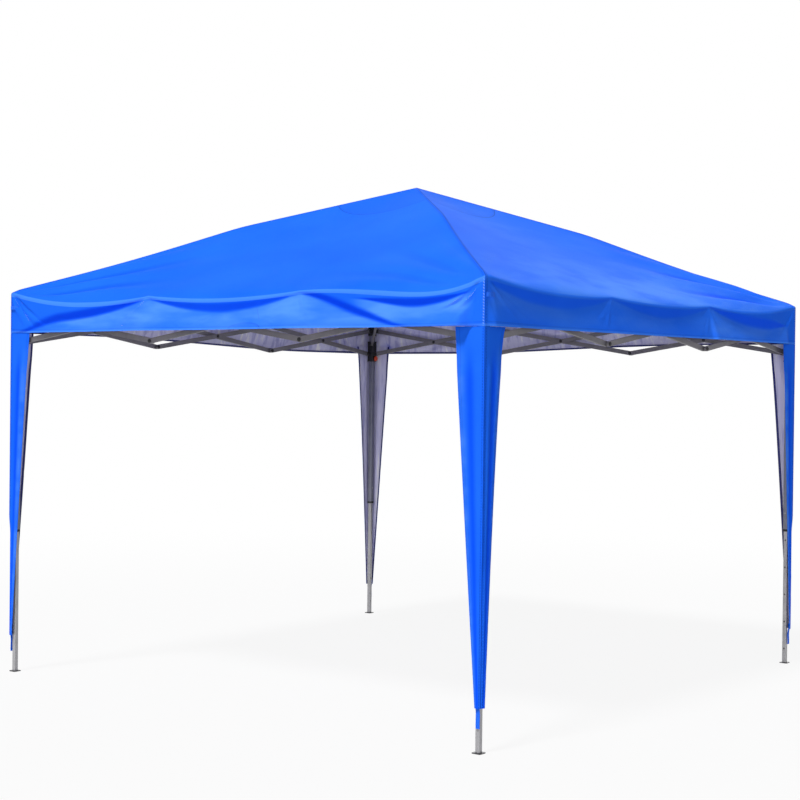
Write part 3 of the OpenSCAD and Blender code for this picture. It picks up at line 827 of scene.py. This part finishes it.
def cut_quads(arrays, quads, level):
    """Quads parted where the level passes zero: the grown vertex arrays, the quads below and those above."""
    grown = [list(a) for a in arrays]
    parted = {}

    def between(a, b):
        key = (min(a, b), max(a, b))
        if key not in parted:
            share = level[a] / (level[a] - level[b])
            parted[key] = len(grown[0])
            for values, source in zip(grown, arrays):
                values.append(mix(source[a], source[b], share))
        return parted[key]

    sides = ([], [])
    for quad in quads.tolist():
        signs = [level[i] > 0 for i in quad]
        for kept in (0, 1):
            loop = []
            for k, here in enumerate(quad):
                after = quad[(k + 1) % 4]
                if signs[k] == kept:
                    loop.append(here)
                if signs[k] != signs[(k + 1) % 4] and here != after:
                    loop.append(between(here, after))
            for k in range(1, len(loop) - 1, 2):
                sides[kept].append([loop[0], loop[k], loop[k + 1], loop[min(k + 2, len(loop) - 1)]])
    return [np.array(values) for values in grown], [np.array(side) for side in sides]


# The bar that each half of a side's roof hangs on in the folded bundle: in the end bay, then in the middle bay
ROOF_BARS = (("fall_bar", 1, 2), ("rise_bar", 3, 2))


def make_cover(loops):
    """The cover cut into pieces that can follow the fold: each half side has three of roof and one of valance."""
    points, painted_light, side, share = cover_surface()
    rows, columns = points.shape[:2]
    flat = points.reshape(-1, 3)
    painted_light = painted_light.reshape(-1, 3)
    quads = grid_quads(rows, columns, True)
    normals = vertex_normals(flat, quads)
    row = quads[:, 0] // columns
    column = quads[:, 0] % columns
    eave = len(ROOF_S) - 1
    edge_row = int(np.searchsorted(ROOF_S, EDGE_SHARE))
    late = share[column] >= 0.5
    middle = bays(share)[0][column] == 1
    v_rows = np.concatenate([np.full(eave, ROOF_MARK), np.concatenate([[1.0], 1 - VALANCE_V]) * VALANCE_H])
    along = np.broadcast_to((2 * share - 1) * HALF, (rows, columns))
    panel = np.stack([along, np.broadcast_to(v_rows[:, None], along.shape),
                      np.broadcast_to(side.astype(float), along.shape)], axis=-1).reshape(-1, 3)
    made = []

    def roof_piece(name, grown, chosen, body):
        points, normals, panel, painted_light = grown
        piece = cloth_piece(name, points, normals, chosen, panel, painted_light)
        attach(piece, body)
        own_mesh(piece)
        made.append(piece)

    for n, side_name in enumerate(SIDES):
        for half, (bar, end_bar, middle_bar) in enumerate(ROOF_BARS):
            c = (n + half) % 4
            corner = CORNERS[c]
            out = turned(np.array((1, -1, 0)) / math.sqrt(2), c)
            level = flat @ out - HINGE_R
            mine = (side[column] == n) & (late == half) & (row < edge_row)
            hinge = out * HINGE_R + np.array((0, 0, HIP_Z))
            hip = hinge - np.array((0, 0, PEAK_Z))
            hip /= np.linalg.norm(hip)
            grown, (upper, _) = cut_quads((flat, normals, panel, painted_light), quads[mine], level)
            across = np.cross(grown[1][upper].mean(axis=(0, 1)), hip)
            across /= np.linalg.norm(across)
            rafter = f"upper_rafter_{corner}"
            roof_piece(f"roof_upper_{side_name}_{corner}", grown, upper, rafter)
            for part, number, where in (("end", end_bar, ~middle), ("middle", middle_bar, middle)):
                grown, (_, lower) = cut_quads((flat, normals, panel, painted_light), quads[mine & where], level)
                roof_piece(f"roof_{part}_{side_name}_{corner}", grown, lower, f"{bar}_{side_name}_{number}")
    for n, side_name in enumerate(SIDES):
        for half in (0, 1):
            c = (n + half) % 4
            corner = CORNERS[c]
            mine = (side[column] == n) & (late == half) & (row >= edge_row)
            piece = cloth_piece(f"valance_{side_name}_{corner}", flat, normals, quads[mine], panel, painted_light)
            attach(piece, f"leg_{corner}")
            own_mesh(piece)
            made.append(piece)
    for piece in made:
        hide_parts("canopy_cover")


# Leg covers
LEG_COVER_TOP_W = 0.150
# Each face's width at the foot, and how its taper bends: at each corner the face that ends a side, then the next
LEG_COVER_FACES = (
    ((0.031, 1.05), (0.028, 0.58)), ((0.031, 1.05), (0.028, 0.85)), ((0.031, 0.95), (0.028, 0.75)),
    ((0.031, 1.05), (0.028, 0.90)),
)
LEG_FOLD = 0.009
# Strength of the painted shade in the valleys and of the painted highlight on the ridges
LEG_PAINTED_SHADE = 0.9
LEG_PAINTED_HIGHLIGHT = 0.6
# The corner eases only below this height
SLIDER_LOW = 0.82
CORNER_RADIUS = 0.009


def leg_cover_surface(c):
    """Two faces that meet at the corner, drawn in towards the foot; u runs from one inner edge to the other."""
    across = np.unique(np.concatenate([np.linspace(0, 0.16, 7), np.linspace(0.16, 1, 16)]))
    u = np.concatenate([-across[::-1], across[1:]])
    v = np.linspace(0, 1, 66)
    v_grid, u_grid = np.meshgrid(v, u, indexing="ij")
    ends, bends = np.array(LEG_COVER_FACES[c])[(u_grid > 0).astype(int)].transpose(2, 0, 1)
    width = mix(LEG_COVER_TOP_W, ends, v_grid ** bends)
    away = np.abs(u_grid) * width
    z = mix(LEG_COVER_TOP, LEG_COVER_END, v_grid)
    draw = np.random.default_rng(40 + c)
    fold, valley_shade, ridge_highlight = np.zeros_like(z), np.zeros_like(z), np.zeros_like(z)
    for face in (-1, 1):
        on = (np.sign(u_grid) == face)
        place = np.abs(u_grid) - draw.uniform(0.42, 0.54) - draw.uniform(-0.05, 0.05) * v_grid
        valley_shade += on * bell(place - 0.03, 0.15)
        ridge_highlight += on * bell(place - 0.36, 0.16)
        for offset, wide, depth in ((0.27, 0.20, 1.1), (-0.22, 0.14, 0.7)):
            fold += on * LEG_FOLD * depth * bell(place - offset, wide)
        for _ in range(12):
            height, place = draw.uniform(0.02, 0.95), draw.uniform(0.05, 0.9)
            slant = draw.uniform(0.4, 1.6) * draw.choice((-1, 1))
            off = (z - mix(LEG_COVER_TOP, LEG_COVER_END, height)) - slant * (np.abs(u_grid) - place) * width
            near = bell((np.abs(u_grid) - place) * width, 0.022)
            fold += on * draw.uniform(-0.0024, 0.0024) * bell(off / math.hypot(1, slant), 0.006) * near
    fold *= smooth(np.abs(u_grid), 0.02, 0.25) * (1 - 0.55 * v_grid) * smooth(v_grid, 0.07, 0.13)
    fold = np.maximum(fold, -0.001)
    ease = CORNER_RADIUS * bell(away, CORNER_RADIUS * 1.3) * smooth(SLIDER_LOW - z, 0, 0.1) * 0.45
    out = COVER_GAP + fold - ease
    back = COVER_GAP - away - ease
    x = np.where(u_grid > 0, out, back)
    y = np.where(u_grid > 0, -back, -out)
    local = np.stack([x + LEG, y - LEG, z], axis=-1)
    edge = np.minimum(width - away, z - LEG_COVER_END)
    panel = np.stack([away, edge, np.full_like(z, LEG_COVER_MARK)], axis=-1)
    # Painted shade in the fold valleys and painted highlight on the ridges, faded in below the top
    below = smooth(v_grid, 0.03, 0.15)
    painted_light = np.stack([LEG_PAINTED_HIGHLIGHT * ridge_highlight * below, LEG_PAINTED_SHADE * valley_shade * below, np.zeros_like(z)], axis=-1)
    return turned(local, c), panel, painted_light


def make_leg_covers(straps):
    for c, name in enumerate(CORNERS):
        piece, area = open_sheet(f"leg_cover_{name}", *leg_cover_surface(c))
        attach(piece, f"leg_{name}")
        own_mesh(piece)
        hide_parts("leg_covers")


# Sewn trim
LOOP_DROP = 0.085
# Length, width and stand of a loop, and where it starts: out from the valance, and along from the corner
LOOP_SIZE = (0.058, 0.020, 0.009)
LOOP_AT = (0.0022, 0.004)
STRAP_W = 0.020
# From the leg's axis to the middle of the strap, towards the corner
STRAP_SHIFT = 0.006
STRAP_TOP = 0.03
STRAP_DROP = 0.085
# Far enough from the leg's axis to pass the outer leg's bush
STRAP_OUT = 0.0182
WEBBING_T = 0.0014


def make_strips(label, body, path, across, width):
    """A strip of webbing at each corner, along a path given at the front corner; across points along its width."""
    steps = np.linspace(-0.5, 0.5, 7)
    grid = path[:, None, :] + np.array(across)[None, None, :] * steps[None, :, None] * width
    panel = np.full_like(grid, ROOF_MARK)
    made = {}
    for c, name in enumerate(CORNERS):
        piece, _ = open_sheet(f"{label}_{name}", turned(grid, c), panel, 0 * panel, WEBBING_T, WEBBING, WEBBING)
        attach(piece, f"{body}_{name}")
        made[name] = piece
    return made


def make_loops():
    """A small webbing loop on each corner of the valance, flat against the side that starts there."""
    run = np.linspace(0, 1, 25)
    stand = LOOP_SIZE[2] * np.sin(np.pi * run) ** 0.6
    path = np.stack([HALF + LOOP_AT[0] + stand, -HALF + LOOP_AT[1] + LOOP_SIZE[0] * run,
                     np.full_like(run, CORNER_Z - LOOP_DROP)], axis=-1)
    return make_strips("corner_loop", "leg", path, (0.0, 0.0, -1.0), LOOP_SIZE[1])


def make_straps():
    """A webbing strap from inside each leg cover down the face of the inner leg."""
    run = np.linspace(0, 1, 25)
    z = LEG_COVER_END + STRAP_TOP - (STRAP_TOP + STRAP_DROP) * run
    out = mix(COVER_GAP - 0.003, STRAP_OUT, smooth(run, 0.05, 0.5)) + 0.0006 * np.sin(9 * run)
    path = np.stack([np.full_like(run, LEG + STRAP_SHIFT), -LEG - out, z], axis=-1)
    return make_strips("leg_strap", "inner_leg", path, (1.0, 0.0, 0.0), STRAP_W)


# Black caps over the truss rivets: radius and height along the profile, and where each bar's outer face lies
CAP_PROFILE = (
    (0.0, 0.0036), (0.0030, 0.0036), (0.0034, 0.0050), (0.0064, 0.0050), (0.0086, 0.0038), (0.0096, 0.0016),
    (0.0096, 0.0002), (0.0074, 0.0),
)
CAP_SEGMENTS = 28
SHARP_ANGLE = math.radians(35)
RISE_FACE = 0.0136
FALL_FACE = 0.0141


def lathe(profile, place, axis):
    """Points and faces of a closed turned form on a place, its axis along a unit vector."""
    axis = np.array(axis)
    first = np.cross(axis, (0.0, 0.0, 1.0))
    second = np.cross(axis, first)
    turn = np.linspace(0, 2 * np.pi, CAP_SEGMENTS, endpoint=False)
    rings = [np.array([place + axis * h + r * (np.cos(a) * first + np.sin(a) * second) for a in turn])
             for r, h in profile[1:]]
    points = np.concatenate([[place + axis * profile[0][1]], *rings, [place + axis * profile[-1][1]]])
    k = np.arange(CAP_SEGMENTS)
    nxt = (k + 1) % CAP_SEGMENTS
    faces = [(0, 1 + a, 1 + b) for a, b in zip(k, nxt)]
    for ring in range(len(rings) - 1):
        low, high = 1 + ring * CAP_SEGMENTS, 1 + (ring + 1) * CAP_SEGMENTS
        faces += [(low + a, high + a, high + b, low + b) for a, b in zip(k, nxt)]
    last = 1 + (len(rings) - 1) * CAP_SEGMENTS
    faces += [(last + a, len(points) - 1, last + b) for a, b in zip(k, nxt)]
    return points, faces


def rigid_piece(name, shapes, material, body):
    """One object from several closed shapes, riding on a body."""
    points, faces = [], []
    for shape_points, shape_faces in shapes:
        faces += [[len(points) + int(i) for i in face] for face in shape_faces]
        points += shape_points.tolist()
    mesh = bpy.data.meshes.new(name)
    mesh.from_pydata(points, [], faces)
    mesh.materials.append(material)
    mesh.polygons.foreach_set("use_smooth", np.ones(len(faces), bool))
    mesh.update()
    mesh.set_sharp_from_angle(angle=SHARP_ANGLE)
    piece = add_object(name, mesh)
    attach(piece, body)


def make_caps():
    for n, side in enumerate(SIDES):
        outward = turned((1, 0, 0), n)
        crosses = [np.array(JOINTS[f"{side}_cross_{k}"]["pos_m"]) for k in (1, 2, 3)]
        rise = (crosses[1] - crosses[0]) / 2
        crosses = [point + outward * (LEG - point @ outward) for point in crosses]
        rise[2] = TRUSS_RISE
        for k, cross in zip((1, 2, 3), crosses):
            body = f"rise_bar_{side}_{k}"
            low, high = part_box(body)
            faces_out = (np.array((low + high) / 2) - cross) @ outward > 0
            spots = [cross] + ([cross + rise] if k < 3 else []) + ([cross - rise] if k > 1 else [])
            shapes = []
            for spot in spots:
                for direction, face in ((1, RISE_FACE), (-1, FALL_FACE)):
                    axis = outward * direction * (1 if faces_out else -1)
                    shapes.append(lathe(CAP_PROFILE, spot + axis * face, axis))
            rigid_piece(f"rivet_caps_{side}_{k}", shapes, BLACK, body)


# Thumb pads over the lock buttons
PAD_PROFILE = (
    (0.0, 0.0080), (0.0060, 0.0080), (0.0100, 0.0074), (0.0120, 0.0086), (0.0140, 0.0090), (0.0156, 0.0080),
    (0.0162, 0.0064), (0.0162, 0.0044), (0.0152, 0.0032), (0.0110, 0.0030), (0.0104, 0.0004),
)
LOCK_CAP_T = 0.007


def make_pads():
    for c, name in enumerate(CORNERS):
        low, high = (np.array(v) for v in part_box(f"lock_button_{name}"))
        middle = (low + high) / 2
        outward = middle - turned((LEG, -LEG, middle[2]), c)
        outward = np.where(np.abs(outward) == np.abs(outward).max(), np.sign(outward), 0.0)
        face = middle + outward * ((high - low) @ np.abs(outward) / 2 - LOCK_CAP_T)
        pad = lathe(PAD_PROFILE, face, outward)
        rigid_piece(f"lock_pad_{name}", [pad], ORANGE, f"lock_button_{name}")


# Finishes of the frame's own parts
def finish_frame():
    kinds = (
        (LEG_STEEL, "outer_leg_"), (INNER_STEEL, "inner_leg_"), (BRIGHT, "leg_button_"), (ORANGE, "lock_button_"),
        (BLACK, "top_bracket_", "slider_", "hub"),
        (STEEL, "rise_bar_", "fall_bar_", "lower_rafter_", "upper_rafter_", "peak_mast"),
    )
    for name, node in NODES.items():
        for material, *starts in kinds:
            if name.startswith(tuple(starts)):
                node.data.materials.clear()
                node.data.materials.append(material)


# Stage and light
WHITE = (1, 1, 1, 1)
FLOOR_REACH = 60
FLOOR_GREY = (0.62, 0.62, 0.62, 1)
# Distances between which the floor fades, and how white it is there
FLOOR_FADE = (2.0, 9.0, 0.90, 1.0)
# Strength of the sky at the horizon and overhead
SKY_LEVEL = (0.12, 0.26)
# Suns: strength, spread in degrees, and where each stands
LAMPS = (
    ("key", 2.75, 12, (-0.02, -0.55, 0.83)),
    ("front", 1.1, 40, (0.45, -0.85, 0.10)),
    ("back", 0.55, 40, (-0.30, 0.85, 0.42)),
)


def make_stage():
    """A wide pale floor that fades into a white surround and keeps the soft shadow."""
    mesh = bpy.data.meshes.new("floor")
    square = ((-1, -1), (1, -1), (1, 1), (-1, 1))
    mesh.from_pydata([(x * FLOOR_REACH, y * FLOOR_REACH, 0) for x, y in square], [], [(0, 1, 2, 3)])
    add_object("floor", mesh)
    material = bpy.data.materials.new("floor")
    material.use_nodes = True
    mesh.materials.append(material)
    nodes = Nodes(material.node_tree)
    nodes.tree.nodes.clear()
    diffuse, glow = nodes.node("ShaderNodeBsdfDiffuse"), nodes.node("ShaderNodeEmission")
    diffuse.inputs["Color"].default_value = FLOOR_GREY
    glow.inputs["Color"].default_value = WHITE
    far = nodes.node("ShaderNodeVectorMath", operation="LENGTH")
    nodes.link(nodes.node("ShaderNodeTexCoord").outputs["Object"], far.inputs[0])
    fade = nodes.spread(far.outputs["Value"], FLOOR_FADE, interpolation_type="SMOOTHSTEP")
    nodes.output("ShaderNodeOutputMaterial", nodes.times(nodes.seen_directly(), fade), diffuse, glow)


def make_light():
    """A soft sky that is white where it is seen directly, and three broad suns."""
    scene.world = bpy.data.worlds.new("studio")
    scene.world.use_nodes = True
    nodes = Nodes(scene.world.node_tree)
    nodes.tree.nodes.clear()
    soft, white = nodes.node("ShaderNodeBackground"), nodes.node("ShaderNodeBackground")
    for shade in (soft, white):
        shade.inputs["Color"].default_value = WHITE
    upward = nodes.split(nodes.node("ShaderNodeTexCoord").outputs["Generated"])["Z"]
    nodes.link(nodes.spread(upward, (0, 1, *SKY_LEVEL)), soft.inputs["Strength"])
    nodes.output("ShaderNodeOutputWorld", nodes.seen_directly(), soft, white)
    for name, level, spread, place in LAMPS:
        sun = bpy.data.lights.new(name, "SUN")
        sun.energy = level
        sun.angle = math.radians(spread)
        lamp = add_object(name, sun)
        lamp.rotation_mode = "QUATERNION"
        lamp.rotation_quaternion = Vector(place).to_track_quat("Z", "Y")


make_camera()
make_stage()
make_light()
finish_frame()
make_caps()
make_pads()
make_cover(make_loops())
make_leg_covers(make_straps())
